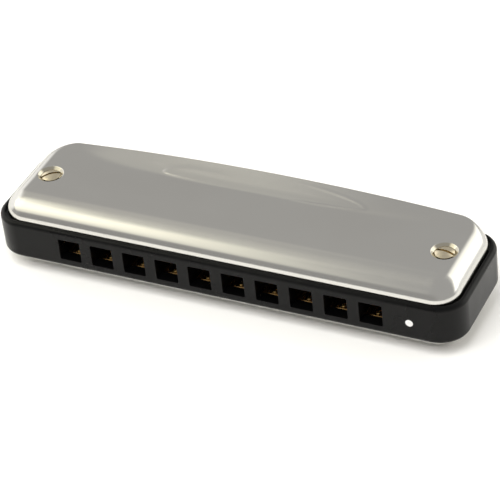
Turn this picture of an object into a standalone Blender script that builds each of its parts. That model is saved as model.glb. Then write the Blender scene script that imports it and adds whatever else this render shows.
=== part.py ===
"""Ten-hole diatonic harmonica: moulded comb, two reed plates, twenty riveted reeds, two pressed covers.

It lies with its draw side up, so the low hole 1 is at +X. X runs along the length, -Y is the
mouth side and +Z is up. The lowest point, on the flared edge of the lower cover, is at z = 0.
Heights called "height" below are measured from the comb's middle plane.
"""

import math

import bmesh
import bpy
from mathutils import Matrix, Vector

MM = 0.001

# Driving dimensions, in metres
HOLES = 10
HOLE_PITCH = 7.5 * MM
HOLE_WIDTH = 4.9 * MM
HOLE_HEIGHT = 4.95 * MM

COMB_LENGTH = 104.5 * MM
COMB_DEPTH = 27.0 * MM
COMB_THICKNESS = 8.8 * MM
COMB_CORNER = 6.1 * MM
COMB_EDGE = 0.9 * MM
RIM_WIDTH = 1.15 * MM
SEAT_HEIGHT = 3.9 * MM
POCKET_FLOOR = 2.9 * MM
CHAMBER_WIDTH = 5.2 * MM
CHAMBER_FRONT = -11.0 * MM
CHAMBER_PAST_REED = 1.4 * MM
CHAMBER_HALF_HEIGHT = 3.5 * MM
SEAT_GAP = 0.25 * MM
NOTCH_FLOOR = 3.2 * MM
NOTCH_BEHIND_PLATE = 0.6 * MM
NOTCH_INSIDE_COVER = 1.0 * MM

PLATE_LENGTH = 83.0 * MM
PLATE_FRONT = -11.35 * MM
PLATE_REAR = 11.1 * MM
PLATE_THICKNESS = 1.0 * MM
FIT_GAP = 0.03 * MM
POCKET_GAP = 0.1 * MM

REED_LONG = 14.5 * MM
REED_SHORT = 8.0 * MM
REED_WIDTH = 1.9 * MM
REED_THICKNESS = 0.25 * MM
REED_LIFT = 0.12 * MM
SLOT_GAP = 0.1 * MM
SLOT_TIP_GAP = 0.15 * MM
PAD_WIDTH = 3.0 * MM
PAD_LENGTH = 2.4 * MM
PAD_THICKNESS = 0.35 * MM
PAD_TO_SLOT = 0.1 * MM
BLOW_SLOT_START = -8.3 * MM
DRAW_SLOT_START = -9.0 * MM

RIVET_RADIUS = 0.42 * MM
RIVET_HEAD_RADIUS = 0.75 * MM
RIVET_HEAD_HEIGHT = 0.26 * MM
RIVET_HEAD_GAP = 0.1 * MM
RIVET_HOLE_RADIUS = 0.54 * MM

COVER_LENGTH = 101.6 * MM
COVER_FRONT = -12.3 * MM
COVER_REAR = 12.4 * MM
COVER_CORNER = 5.4 * MM
COVER_SHEET = 0.4 * MM
COVER_TOP = 8.1 * MM
COVER_FOOT = 4.05 * MM
BEND_RADIUS = 7.0 * MM
BEND_ANGLE = math.radians(42.0)
SHOULDER_RADIUS = 2.5 * MM
FLANGE_ANGLE = math.radians(76.0)
END_SLOPE_WIDTH = 4.0 * MM
FLARE_RISE = 1.6 * MM
FLARE_DEPTH_MIDDLE = 5.9 * MM
FLARE_DEPTH_END = 2.5 * MM
FLARE_POWER = 8
FLARE_HALF = 43.2 * MM
OPENING_HALF = 40.0 * MM
COVER_STEPS = 4

COVER_SCREW_X = 44.45 * MM
COVER_SCREW_Y = 0.3 * MM
DIMPLE_RADIUS = 2.6 * MM
DIMPLE_HOLE_RADIUS = 1.25 * MM
DIMPLE_DEPTH = 1.27 * MM
HEAD_GAP = 0.15 * MM
HEAD_SEAT_GAP = 0.05 * MM
HEAD_CONE_HEIGHT = 0.82 * MM
NUT_BORE_GAP = 0.08 * MM
COVER_SLOT_WIDTH = 0.6 * MM
SLOT_TURNS = {"left": math.radians(42.0), "right": math.radians(-7.0)}
SHANK_RADIUS = 0.9 * MM
COMB_SCREW_HOLE_RADIUS = 1.2 * MM

PLATE_SCREW_X = 39.2 * MM
PLATE_SCREW_Y = 7.0 * MM
PLATE_SCREW_RADIUS = 0.65 * MM
PLATE_SCREW_HEAD_RADIUS = 1.4 * MM
PLATE_SCREW_HEAD_HEIGHT = 0.6 * MM
PLATE_SCREW_LENGTH = 3.0 * MM
PLATE_SCREW_HOLE_BOTTOM = 0.6 * MM
PLATE_HOLE_GAP = 0.15 * MM

MIDDLE = COVER_TOP + FLARE_RISE
FAR = 30.0 * MM


def clear_scene():
    """Remove every object that is already there."""
    for item in list(bpy.data.objects):
        bpy.data.objects.remove(item, do_unlink=True)


def new_collection(name):
    group = bpy.data.collections.new(name)
    bpy.context.scene.collection.children.link(group)
    return group


def new_material(name, colour, roughness, metallic):
    material = bpy.data.materials.new(name)
    material.use_nodes = True
    shader = material.node_tree.nodes["Principled BSDF"]
    shader.inputs["Base Color"].default_value = (*colour, 1.0)
    shader.inputs["Roughness"].default_value = roughness
    shader.inputs["Metallic"].default_value = metallic
    return material


clear_scene()
PARTS = new_collection("harmonica")
CUTTERS = new_collection("cutters")

BLACK_PLASTIC = new_material("black_plastic", (0.012, 0.012, 0.012), 0.35, 0.0)
COVER_STEEL = new_material("cover_steel", (0.62, 0.61, 0.58), 0.25, 1.0)
PLATE_BRASS = new_material("plate_brass", (0.72, 0.53, 0.24), 0.35, 1.0)
REED_BRASS = new_material("reed_brass", (0.80, 0.62, 0.33), 0.30, 1.0)
RIVET_BRASS = new_material("rivet_brass", (0.70, 0.50, 0.22), 0.30, 1.0)
SCREW_NICKEL = new_material("screw_nickel", (0.66, 0.60, 0.48), 0.28, 1.0)


def add_object(name, mesh, material=None, group=PARTS, location=(0.0, 0.0, 0.0)):
    """Link a mesh as a named object; an object with no material is a cutter."""
    item = bpy.data.objects.new(name, mesh)
    group.objects.link(item)
    item.location = location
    if material:
        mesh.materials.clear()
        mesh.materials.append(material)
    else:
        item.hide_render = True
        item.display_type = "WIRE"
    return item


def mesh_from(name, shape):
    mesh = bpy.data.meshes.new(name)
    bmesh.ops.recalc_face_normals(shape, faces=shape.faces[:])
    shape.to_mesh(mesh)
    shape.free()
    return mesh


def add_box(shape, low, high):
    """Add a box between two corners to a bmesh, and return its vertices."""
    low, high = Vector(low), Vector(high)
    size = high - low
    place = Matrix.Translation((low + high) / 2) @ Matrix.Diagonal((*size, 1.0))
    return bmesh.ops.create_cube(shape, size=1.0, matrix=place)["verts"]


def add_pin(shape, x, y, low, high, radius, segments=12):
    """Add an upright cylinder from height low to height high to a bmesh."""
    place = Matrix.Translation((x, y, (low + high) / 2))
    bmesh.ops.create_cone(
        shape, cap_ends=True, segments=segments, radius1=radius, radius2=radius,
        depth=high - low, matrix=place,
    )


def bevel(shape, edges, width, segments):
    bmesh.ops.bevel(
        shape, geom=edges, offset=width, segments=segments, profile=0.5, affect="EDGES"
    )


def rounded_block(name, low, high, corner, corner_segments, edge=0.0, edge_segments=2):
    """A block with round plan corners and, if asked, round top and bottom edges."""
    shape = bmesh.new()
    add_box(shape, low, high)
    upright = [e for e in shape.edges if abs(e.verts[0].co.z - e.verts[1].co.z) > MM]
    bevel(shape, upright, corner, corner_segments)
    if edge:
        level = [e for e in shape.edges if abs(e.verts[0].co.z - e.verts[1].co.z) < MM]
        bevel(shape, level, edge, edge_segments)
    return mesh_from(name, shape)


def turned_mesh(name, profile, steps, closed=False):
    """Turn a profile of (radius, height) points, which runs down its outer side, about Z."""
    outline = bpy.data.meshes.new(name + "_profile")
    points = [(radius, 0.0, height) for radius, height in profile]
    edges = [(i, i + 1) for i in range(len(points) - 1)]
    if closed:
        edges.append((len(points) - 1, 0))
    outline.from_pydata(points, edges, [])
    item = bpy.data.objects.new(name + "_profile", outline)
    CUTTERS.objects.link(item)
    screw = item.modifiers.new("turn", "SCREW")
    screw.axis = "Z"
    screw.steps = steps
    screw.render_steps = steps
    screw.use_merge_vertices = True
    screw.merge_threshold = 0.00001
    screw.use_smooth_shade = True
    return bake(item, name)


def bake(item, name):
    """Replace an object by the mesh that its modifiers make."""
    graph = bpy.context.evaluated_depsgraph_get()
    mesh = bpy.data.meshes.new_from_object(item.evaluated_get(graph))
    mesh.name = name
    bpy.data.objects.remove(item, do_unlink=True)
    return mesh


def combine(item, other, operation="DIFFERENCE"):
    """Cut another object from an object, or join it on."""
    boolean = item.modifiers.new(other.name, "BOOLEAN")
    boolean.operation = operation
    boolean.object = other
    boolean.solver = "EXACT"


def smooth(item, angle=35.0):
    item.data.shade_smooth()
    item.data.set_sharp_from_angle(angle=math.radians(angle))


def hole_x(number):
    """Hole 1, the lowest note, is at +X."""
    return ((HOLES + 1) / 2 - number) * HOLE_PITCH


def reed_length(number):
    return REED_LONG + (REED_SHORT - REED_LONG) * (number - 1) / (HOLES - 1)


def chamber_rear(number):
    return BLOW_SLOT_START + reed_length(number) + CHAMBER_PAST_REED


def plate_screw_places():
    return [
        ("front_left", -PLATE_SCREW_X, -PLATE_SCREW_Y),
        ("front_right", PLATE_SCREW_X, -PLATE_SCREW_Y),
        ("rear_left", -PLATE_SCREW_X, PLATE_SCREW_Y),
        ("rear_right", PLATE_SCREW_X, PLATE_SCREW_Y),
    ]


def build_comb():
    """The moulded body: rim, cover seats, plate pockets, ten chambers and ten mouth holes."""
    half = Vector((COMB_LENGTH / 2, COMB_DEPTH / 2, COMB_THICKNESS / 2))
    mesh = rounded_block("comb", -half, half, COMB_CORNER, 6, COMB_EDGE, 2)
    comb = add_object("comb", mesh, BLACK_PLASTIC, location=(0.0, 0.0, MIDDLE))

    seat_x = half.x - RIM_WIDTH
    seat_front = -half.y + RIM_WIDTH
    seat_rear = COVER_REAR + SEAT_GAP
    notch_front = PLATE_REAR + NOTCH_BEHIND_PLATE
    notch_x = OPENING_HALF - NOTCH_INSIDE_COVER
    pocket_x = PLATE_LENGTH / 2 + POCKET_GAP
    for side, sign in (("draw", 1), ("blow", -1)):
        levels = sorted((sign * SEAT_HEIGHT, sign * FAR))
        seat = rounded_block(
            side + "_seat_cutter",
            (-seat_x, seat_front, levels[0]), (seat_x, seat_rear, levels[1]),
            COMB_CORNER - RIM_WIDTH, 4,
        )
        recess = bmesh.new()
        levels = sorted((sign * POCKET_FLOOR, sign * FAR))
        add_box(
            recess,
            (-pocket_x, PLATE_FRONT - POCKET_GAP, levels[0]),
            (pocket_x, PLATE_REAR + POCKET_GAP, levels[1]),
        )
        notch = bmesh.new()
        levels = sorted((sign * NOTCH_FLOOR, sign * FAR))
        add_box(notch, (-notch_x, notch_front, levels[0]), (notch_x, FAR, levels[1]))
        cutters = (
            seat,
            mesh_from(side + "_plate_pocket_cutter", recess),
            mesh_from(side + "_sound_notch_cutter", notch),
        )
        for cutter in cutters:
            item = add_object(cutter.name, cutter, group=CUTTERS, location=comb.location)
            combine(comb, item)

    chambers = bmesh.new()
    mouths = bmesh.new()
    for number in range(1, HOLES + 1):
        x = hole_x(number)
        add_box(
            chambers,
            (x - CHAMBER_WIDTH / 2, CHAMBER_FRONT, -CHAMBER_HALF_HEIGHT),
            (x + CHAMBER_WIDTH / 2, chamber_rear(number), CHAMBER_HALF_HEIGHT),
        )
        add_box(
            mouths,
            (x - HOLE_WIDTH / 2, -FAR, -HOLE_HEIGHT / 2),
            (x + HOLE_WIDTH / 2, CHAMBER_FRONT + MM, HOLE_HEIGHT / 2),
        )
    screw_holes = bmesh.new()
    bottom = PLATE_SCREW_HOLE_BOTTOM
    top = POCKET_FLOOR + MM
    for _, x, y in plate_screw_places():
        add_pin(screw_holes, x, y, bottom, top, PLATE_SCREW_RADIUS + POCKET_GAP, 10)
        add_pin(screw_holes, x, y, -top, -bottom, PLATE_SCREW_RADIUS + POCKET_GAP, 10)
    for x in (-COVER_SCREW_X, COVER_SCREW_X):
        add_pin(screw_holes, x, COVER_SCREW_Y, -FAR, FAR, COMB_SCREW_HOLE_RADIUS, 12)
    for name, shape in (("chamber", chambers), ("mouth_hole", mouths), ("screw_hole", screw_holes)):
        mesh = mesh_from(name + "_cutter", shape)
        cutter = add_object(mesh.name, mesh, group=CUTTERS, location=comb.location)
        combine(comb, cutter)
    smooth(comb)


def rivet_y(side, number):
    """The rivet is in the middle of the pad, in front of a blow slot and behind a draw slot."""
    offset = PAD_TO_SLOT + PAD_LENGTH / 2
    if side == "blow":
        return BLOW_SLOT_START - offset
    return DRAW_SLOT_START + reed_length(number) + SLOT_TIP_GAP + offset


def plate_face(side):
    """Height of the plate's upper face, which carries the reeds."""
    inner = -(POCKET_FLOOR + FIT_GAP)
    if side == "blow":
        return inner
    return -inner + PLATE_THICKNESS


def build_plate(side):
    """A flat brass plate with a slot for each reed and holes for rivets and screws."""
    sign = 1 if side == "draw" else -1
    inner = sign * (POCKET_FLOOR + FIT_GAP)
    outer = inner + sign * PLATE_THICKNESS
    low, high = sorted((inner, outer))
    shape = bmesh.new()
    half = PLATE_LENGTH / 2
    add_box(shape, (-half, PLATE_FRONT, low), (half, PLATE_REAR, high))
    name = side + "_reed_plate"
    plate = add_object(name, mesh_from(name, shape), PLATE_BRASS, location=(0.0, 0.0, MIDDLE))

    slots = bmesh.new()
    start = BLOW_SLOT_START if side == "blow" else DRAW_SLOT_START
    slot_half = REED_WIDTH / 2 + SLOT_GAP
    for number in range(1, HOLES + 1):
        x = hole_x(number)
        end = start + reed_length(number) + SLOT_TIP_GAP
        add_box(slots, (x - slot_half, start, low - MM), (x + slot_half, end, high + MM))
        add_pin(slots, x, rivet_y(side, number), low - MM, high + MM, RIVET_HOLE_RADIUS, 8)
    for _, x, y in plate_screw_places():
        add_pin(slots, x, y, low - MM, high + MM, PLATE_SCREW_RADIUS + PLATE_HOLE_GAP, 10)
    mesh = mesh_from(side + "_slot_cutter", slots)
    combine(plate, add_object(mesh.name, mesh, group=CUTTERS, location=plate.location))


def build_reed(side, number):
    """A pad and a tongue in one strip; its origin is on its hinge line, at the rivet."""
    x = hole_x(number)
    root = rivet_y(side, number)
    forward = 1 if side == "blow" else -1
    reach = PAD_TO_SLOT + PAD_LENGTH / 2 + reed_length(number)
    hinge = plate_face(side) + REED_LIFT + PAD_THICKNESS / 2

    pad = bmesh.new()
    add_box(
        pad,
        (-PAD_WIDTH / 2, -PAD_LENGTH / 2, -PAD_THICKNESS / 2),
        (PAD_WIDTH / 2, PAD_LENGTH / 2, PAD_THICKNESS / 2),
    )
    name = f"{side}_reed_{number}"
    reed = add_object(name, mesh_from(name, pad), REED_BRASS, location=(x, root, MIDDLE + hinge))

    tongue = bmesh.new()
    ends = sorted((forward * RIVET_HEAD_RADIUS, forward * reach))
    add_box(
        tongue,
        (-REED_WIDTH / 2, ends[0], -PAD_THICKNESS / 2 + 0.02 * MM),
        (REED_WIDTH / 2, ends[1], -PAD_THICKNESS / 2 + REED_THICKNESS),
    )
    hole = bmesh.new()
    add_pin(hole, 0.0, 0.0, -MM, MM, RIVET_HOLE_RADIUS, 8)
    for part, shape, operation in (("tongue", tongue, "UNION"), ("hole", hole, "DIFFERENCE")):
        mesh = mesh_from(f"{name}_{part}_cutter", shape)
        other = add_object(mesh.name, mesh, group=CUTTERS, location=reed.location)
        combine(reed, other, operation)


def rivet_mesh():
    """Head on the pad side; the tail ends flush with the plate's other face."""
    under_head = REED_LIFT + PAD_THICKNESS + RIVET_HEAD_GAP
    top = under_head + RIVET_HEAD_HEIGHT
    profile = [
        (0.0, top),
        (RIVET_HEAD_RADIUS * 0.75, top),
        (RIVET_HEAD_RADIUS, under_head + RIVET_HEAD_HEIGHT * 0.4),
        (RIVET_HEAD_RADIUS, under_head),
        (RIVET_RADIUS, under_head),
        (RIVET_RADIUS, -PLATE_THICKNESS + 0.02 * MM),
        (0.0, -PLATE_THICKNESS + 0.02 * MM),
    ]
    return turned_mesh("rivet", profile, 8)


def build_rivets():
    mesh = rivet_mesh()
    mesh.materials.append(RIVET_BRASS)
    for side in ("blow", "draw"):
        for number in range(1, HOLES + 1):
            item = bpy.data.objects.new(f"{side}_rivet_{number}", mesh)
            PARTS.objects.link(item)
            height = MIDDLE + plate_face(side)
            item.location = (hole_x(number), rivet_y(side, number), height)
    smooth(item)


def flare_rise(x):
    """How far the rear edge of a cover stands above its flat top."""
    along = min(1.0, abs(x) / FLARE_HALF)
    return FLARE_RISE * (1.0 - along * along)


def flare_start(x):
    """Where the flare leaves the flat top: a straight fold that curves back near its ends."""
    along = min(1.0, abs(x) / FLARE_HALF) ** FLARE_POWER
    return COVER_REAR - FLARE_DEPTH_MIDDLE + (FLARE_DEPTH_MIDDLE - FLARE_DEPTH_END) * along


def slope_profile(bend_steps, shoulder_steps):
    """Points of the cover's front slope from its foot up, (distance out, height), and its width."""
    points = []
    for step in range(bend_steps + 1):
        angle = BEND_ANGLE * step / bend_steps
        out = BEND_RADIUS * math.sin(angle)
        points.append((out, COVER_TOP - BEND_RADIUS * (1 - math.cos(angle))))
    start_out, start_height = points[-1]
    for step in range(1, shoulder_steps + 1):
        angle = BEND_ANGLE + (FLANGE_ANGLE - BEND_ANGLE) * step / shoulder_steps
        out = start_out + SHOULDER_RADIUS * (math.sin(angle) - math.sin(BEND_ANGLE))
        height = start_height - SHOULDER_RADIUS * (math.cos(BEND_ANGLE) - math.cos(angle))
        points.append((out, height))
    flange_out, flange_top = points[-1]
    width = flange_out + (flange_top - COVER_FOOT) / math.tan(FLANGE_ANGLE)
    points.append((width, COVER_FOOT))
    return points[::-1], width


def cover_outline(stations, corner_steps, width):
    """Points round the cover's foot, each with the point on the flat top that its slope climbs to."""
    flat_x = COVER_LENGTH / 2 - END_SLOPE_WIDTH
    centre_x = COVER_LENGTH / 2 - COVER_CORNER
    front_y = COVER_FRONT + COVER_CORNER
    rear_y = COVER_REAR - COVER_CORNER
    top_front = COVER_FRONT + width
    right = []
    for step in range(corner_steps + 1):
        part = step / corner_steps
        out_x, out_y = math.sin(part * math.pi / 2), math.cos(part * math.pi / 2)
        foot = (centre_x + COVER_CORNER * out_x, front_y - COVER_CORNER * out_y)
        right.append((foot, (centre_x + (flat_x - centre_x) * part, top_front)))
    for step in range(corner_steps + 1):
        part = step / corner_steps
        out_x, out_y = math.cos(part * math.pi / 2), math.sin(part * math.pi / 2)
        foot = (centre_x + COVER_CORNER * out_x, rear_y + COVER_CORNER * out_y)
        top = (FLARE_HALF + (flat_x - FLARE_HALF) * out_x, rear_y + COVER_CORNER * out_y)
        right.append((foot, top))
    right.pop()
    front = [((x, COVER_FRONT), (x, top_front)) for x in stations]
    rear = [((x, COVER_REAR), (x, COVER_REAR)) for x in stations]
    rear[0] = ((-centre_x, COVER_REAR), rear[0][1])
    rear[-1] = ((centre_x, COVER_REAR), rear[-1][1])
    left = [((-foot[0], foot[1]), (-top[0], top[1])) for foot, top in right]
    return front + right + rear[::-1] + left[::-1], len(right)


def cover_surface(stations, corner_steps, bend_steps, shoulder_steps):
    """The cover's outer skin: slopes round three sides, a flat top and a flare open at the rear."""
    profile, width = slope_profile(bend_steps, shoulder_steps)
    outline, corner_count = cover_outline(stations, corner_steps, width)
    count = len(stations)
    rear_first = count + corner_count
    shape = bmesh.new()
    rings = []
    for out, height in profile:
        ring = []
        for foot, top in outline:
            place = Vector(top).lerp(Vector(foot), out / width)
            ring.append(shape.verts.new((place.x, place.y, height)))
        rings.append(ring)
    for index in range(rear_first, rear_first + count):
        vertex = rings[-1][index]
        vertex.co.z = COVER_TOP + flare_rise(vertex.co.x)

    total = len(outline)
    for index in range(total):
        after = (index + 1) % total
        middle = (outline[index][0][0] + outline[after][0][0]) / 2
        at_rear = rear_first <= index < rear_first + count - 1
        if at_rear and abs(middle) < OPENING_HALF:
            continue
        for lower, upper in zip(rings, rings[1:]):
            shape.faces.new((lower[index], lower[after], upper[after], upper[index]))

    top = rings[-1]
    fold = [shape.verts.new((x, flare_start(x), COVER_TOP)) for x in stations]
    for index in range(count - 1):
        rear, rear_next = top[rear_first + count - 1 - index], top[rear_first + count - 2 - index]
        shape.faces.new((top[index], top[index + 1], fold[index + 1], fold[index]))
        shape.faces.new((fold[index], fold[index + 1], rear_next, rear))
    shape.faces.new([top[count - 1], *top[count:rear_first], top[rear_first], fold[-1]])
    left = rear_first + count - 1
    shape.faces.new([top[left], *top[left + 1:], top[0], fold[0]])
    bmesh.ops.triangulate(shape, faces=[f for f in shape.faces if len(f.verts) > 4])
    mesh = bpy.data.meshes.new("cover_skin")
    loose = [v for v in shape.verts if not v.link_faces]
    bmesh.ops.delete(shape, geom=loose, context="VERTS")
    bmesh.ops.recalc_face_normals(shape, faces=shape.faces[:])
    shape.to_mesh(mesh)
    shape.free()
    return mesh


def dimple_slope():
    return (DIMPLE_RADIUS - DIMPLE_HOLE_RADIUS) / DIMPLE_DEPTH


def dimple_bottom():
    return COVER_TOP - DIMPLE_DEPTH


def dimple_plug_profile():
    """The solid that a dimple is cut from; its top is buried in the sheet."""
    reach = DIMPLE_RADIUS + 0.3 * MM
    return [
        (0.0, COVER_TOP - COVER_SHEET / 4),
        (reach, COVER_TOP - COVER_SHEET / 4),
        (reach, COVER_TOP - COVER_SHEET * 0.9),
        (DIMPLE_HOLE_RADIUS + 0.55 * MM, dimple_bottom()),
        (0.0, dimple_bottom()),
    ]


def countersink_profile():
    above = 0.3 * MM
    return [
        (0.0, COVER_TOP + above),
        (DIMPLE_RADIUS + above * dimple_slope(), COVER_TOP + above),
        (DIMPLE_HOLE_RADIUS, dimple_bottom()),
        (DIMPLE_HOLE_RADIUS, dimple_bottom() - MM),
        (0.0, dimple_bottom() - MM),
    ]


def build_covers():
    """Two alike pressings: the blow cover is the draw cover turned over end for end."""
    steps = range(-COVER_STEPS, COVER_STEPS + 1)
    stations = [-FLARE_HALF, *(OPENING_HALF * step / COVER_STEPS for step in steps), FLARE_HALF]
    skin = cover_surface(stations, 4, 4, 2)
    blank = bpy.data.objects.new("cover_blank", skin)
    CUTTERS.objects.link(blank)
    solid = blank.modifiers.new("sheet", "SOLIDIFY")
    solid.thickness = COVER_SHEET
    solid.offset = -1.0
    solid.use_even_offset = True
    solid.use_rim = True
    plug = turned_mesh("dimple_plug", dimple_plug_profile(), 16)
    countersink = turned_mesh("countersink", countersink_profile(), 16)
    for x in (-COVER_SCREW_X, COVER_SCREW_X):
        place = (x, COVER_SCREW_Y, 0.0)
        combine(blank, add_object("dimple_plug", plug, group=CUTTERS, location=place), "UNION")
        combine(blank, add_object("countersink", countersink, group=CUTTERS, location=place))
    cover_mesh = bake(blank, "cover")
    cover_mesh.materials.clear()
    cover_mesh.materials.append(COVER_STEEL)
    for name, turn in (("draw_cover", 0.0), ("blow_cover", math.pi)):
        cover = bpy.data.objects.new(name, cover_mesh)
        PARTS.objects.link(cover)
        cover.location = (0.0, 0.0, MIDDLE)
        cover.rotation_euler = (0.0, turn, 0.0)
    smooth(cover)


def head_cone():
    """The seat side of a cover screw's head: radius and height, bottom and top."""
    low = dimple_bottom() + HEAD_SEAT_GAP
    high = low + HEAD_CONE_HEIGHT
    return [
        (DIMPLE_HOLE_RADIUS - HEAD_GAP + (height - dimple_bottom()) * dimple_slope(), height)
        for height in (low, high)
    ]


def build_cover_screws():
    """Two oval-head screws go down through both covers and the comb into two cone nuts."""
    (low_radius, low), (high_radius, high) = head_cone()
    screw_profile = [
        (0.0, high + 0.34 * MM),
        (high_radius * 0.55, high + 0.27 * MM),
        (high_radius, high + 0.08 * MM),
        (high_radius, high),
        (low_radius, low),
        (SHANK_RADIUS, low),
        (SHANK_RADIUS, -high),
        (0.0, -high),
    ]
    nut_profile = [
        (SHANK_RADIUS + NUT_BORE_GAP, high + 0.2 * MM),
        (high_radius * 0.8, high + 0.2 * MM),
        (high_radius, high + 0.05 * MM),
        (high_radius, high),
        (low_radius, low),
        (SHANK_RADIUS + NUT_BORE_GAP, low),
    ]
    for side, x in (("left", -COVER_SCREW_X), ("right", COVER_SCREW_X)):
        place = (x, COVER_SCREW_Y, MIDDLE)
        name = "cover_screw_" + side
        screw = add_object(name, turned_mesh(name, screw_profile, 16), SCREW_NICKEL, location=place)
        slot = bmesh.new()
        half = COVER_SLOT_WIDTH / 2
        add_box(slot, (-FAR, -half, high - 0.2 * MM), (FAR, half, FAR))
        mesh = mesh_from(name + "_slot_cutter", slot)
        cutter = add_object(mesh.name, mesh, group=CUTTERS, location=place)
        cutter.rotation_euler = (0.0, 0.0, SLOT_TURNS[side])
        combine(screw, cutter)
        smooth(screw)

        name = "cover_nut_" + side
        mesh = turned_mesh(name, nut_profile, 16, closed=True)
        nut = add_object(name, mesh, SCREW_NICKEL, location=place)
        nut.rotation_euler = (0.0, math.pi, 0.0)
        smooth(nut)


def build_plate_screws():
    """Four small self-tapping screws hold each plate to the comb."""
    under_head = POCKET_FLOOR + FIT_GAP + PLATE_THICKNESS + 0.05 * MM
    top = under_head + PLATE_SCREW_HEAD_HEIGHT
    profile = [
        (0.0, top),
        (PLATE_SCREW_HEAD_RADIUS * 0.7, top),
        (PLATE_SCREW_HEAD_RADIUS, under_head + PLATE_SCREW_HEAD_HEIGHT * 0.4),
        (PLATE_SCREW_HEAD_RADIUS, under_head),
        (PLATE_SCREW_RADIUS, under_head),
        (PLATE_SCREW_RADIUS, under_head - PLATE_SCREW_LENGTH),
        (0.0, under_head - PLATE_SCREW_LENGTH),
    ]
    blank = add_object("plate_screw_blank", turned_mesh("plate_screw", profile, 10), group=CUTTERS)
    slot = bmesh.new()
    add_box(slot, (-2 * MM, -0.2 * MM, top - 0.25 * MM), (2 * MM, 0.2 * MM, FAR))
    mesh = mesh_from("plate_screw_slot_cutter", slot)
    combine(blank, add_object(mesh.name, mesh, group=CUTTERS))
    screw_mesh = bake(blank, "plate_screw")
    screw_mesh.materials.clear()
    screw_mesh.materials.append(SCREW_NICKEL)
    for side, turn in (("draw", 0.0), ("blow", math.pi)):
        for place, x, y in plate_screw_places():
            item = bpy.data.objects.new(f"{side}_plate_screw_{place}", screw_mesh)
            PARTS.objects.link(item)
            item.location = (x, y, MIDDLE)
            item.rotation_euler = (0.0, turn, 0.0)
    smooth(item)


build_comb()
for plate_side in ("blow", "draw"):
    build_plate(plate_side)
    for reed_number in range(1, HOLES + 1):
        build_reed(plate_side, reed_number)
build_rivets()
build_covers()
build_cover_screws()
build_plate_screws()
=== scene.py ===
"""Studio scene of a ten-hole harmonica that lies draw side up, with fine meshes and materials."""
import math

import bmesh
import bpy
from mathutils import Matrix, Vector


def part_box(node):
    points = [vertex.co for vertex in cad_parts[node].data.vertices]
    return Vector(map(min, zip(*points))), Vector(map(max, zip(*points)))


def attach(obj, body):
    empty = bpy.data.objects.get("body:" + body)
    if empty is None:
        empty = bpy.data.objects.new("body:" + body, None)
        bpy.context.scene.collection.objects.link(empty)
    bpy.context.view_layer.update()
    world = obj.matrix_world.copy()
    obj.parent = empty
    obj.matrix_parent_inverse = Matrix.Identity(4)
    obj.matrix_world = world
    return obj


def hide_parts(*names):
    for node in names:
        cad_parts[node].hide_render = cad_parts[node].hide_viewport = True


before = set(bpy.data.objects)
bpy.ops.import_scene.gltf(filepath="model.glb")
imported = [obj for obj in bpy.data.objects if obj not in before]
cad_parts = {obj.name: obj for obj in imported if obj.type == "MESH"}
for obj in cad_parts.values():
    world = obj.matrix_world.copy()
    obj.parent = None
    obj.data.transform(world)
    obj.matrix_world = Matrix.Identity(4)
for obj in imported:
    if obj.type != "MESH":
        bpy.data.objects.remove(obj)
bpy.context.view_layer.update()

MM = 0.001
BODY = "harmonica"
HOLES = 10
SCREW_PLACES = ("front_left", "front_right", "rear_left", "rear_right")

# Places that come from the CAD parts in model.glb
COMB_LOW, COMB_HIGH = (Vector(corner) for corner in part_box("comb"))
COVER_LOW, COVER_HIGH = (Vector(corner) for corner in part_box("draw_cover"))
CENTRE = (COMB_LOW + COMB_HIGH) / 2
MIDDLE = CENTRE.z
COMB_HALF = (COMB_HIGH - COMB_LOW) / 2

# Comb; heights are measured from its middle plane
COMB_CORNER = 6.1 * MM
COMB_EDGE = 0.9 * MM
RIM_WIDTH = 1.15 * MM
SEAT_HEIGHT = 3.9 * MM
SEAT_REAR = 12.65 * MM
POCKET_FLOOR = 2.9 * MM
NOTCH_FLOOR = 3.2 * MM
NOTCH_HALF = 39.0 * MM
NOTCH_FRONT = 11.7 * MM
NOTCH_ROUND = 0.4 * MM
CHAMBER_FRONT = -11.0 * MM
CHAMBER_PAST_REED = 1.4 * MM
CHAMBER_WIDTH = 5.2 * MM
CHAMBER_HALF_HEIGHT = 3.5 * MM
HOLE_WIDTH = 4.9 * MM
HOLE_HEIGHT = 4.95 * MM
HOLE_CORNER = 0.2 * MM
LIP = 0.12 * MM
POCKET_GAP = 0.1 * MM
COMB_SCREW_HOLE_RADIUS = 1.2 * MM
PLATE_SCREW_HOLE_BOTTOM = 0.6 * MM
KEY_DOT_X = 41.9 * MM
KEY_DOT_HEIGHT = -0.24 * MM
KEY_DOT_RADIUS = 0.8 * MM
KEY_DOT_THICKNESS = 0.03 * MM

# Reeds, rivets and plates
PAD_WIDTH = 3.0 * MM
PAD_LENGTH = 2.4 * MM
PAD_CORNER = 0.3 * MM
REED_WIDTH = 1.9 * MM
REED_THICKNESS = 0.25 * MM
REED_THIN = 0.19 * MM
REED_BASE_GAP = 0.02 * MM
REED_SOFT = 0.04 * MM
REED_TIP_TRIM = 0.03 * MM
# along a tongue, part of its length: is it filed thin there?
REED_STATIONS = (
    (0.0, False), (0.16, False), (0.24, True), (0.62, True), (0.74, False), (0.985, False),
)
SLOT_GAP = 0.1 * MM
TIP_GAP = 0.15 * MM
RIVET_HOLE_RADIUS = 0.54 * MM
RIVET_RADIUS = 0.42 * MM
RIVET_HEAD_RADIUS = 0.75 * MM
RIVET_HEAD_HEIGHT = 0.26 * MM
RIVET_HEAD_SIDE = 0.06 * MM
RIVET_TAIL_SOFT = 0.03 * MM
PLATE_CORNER = 0.5 * MM
SHEET_SOFT = 0.05 * MM

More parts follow.
